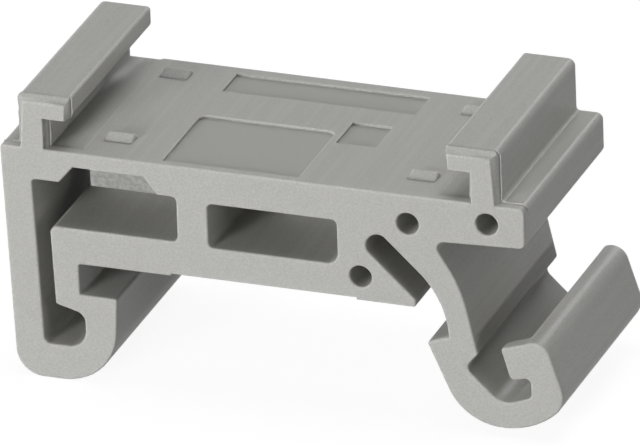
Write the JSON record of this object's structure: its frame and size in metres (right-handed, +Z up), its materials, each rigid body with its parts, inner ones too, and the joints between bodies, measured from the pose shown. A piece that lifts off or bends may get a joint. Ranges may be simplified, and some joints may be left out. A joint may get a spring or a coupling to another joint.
{
  "type": "din rail adapter",
  "caption": "Clip-on plastic adapter for a 15 mm rail: flat plate with claws on top for a terminal block, a fixed hook at one end and a sprung latch foot with release lever at the other.",
  "frame": {"origin": "centre of the rail, level with the top of its flanges, at mid-depth of the moulding", "axes": "+X across the rail from the fixed hook to the sprung foot, +Y along the rail towards the back face, +Z up through the plate"},
  "size_m": [0.023, 0.0094, 0.012],
  "materials": {
    "body": "fine matt moulded polyamide, light grey"
  },
  "bodies": {
    "root": {"adapter": "body"}
  },
  "joints": []
}
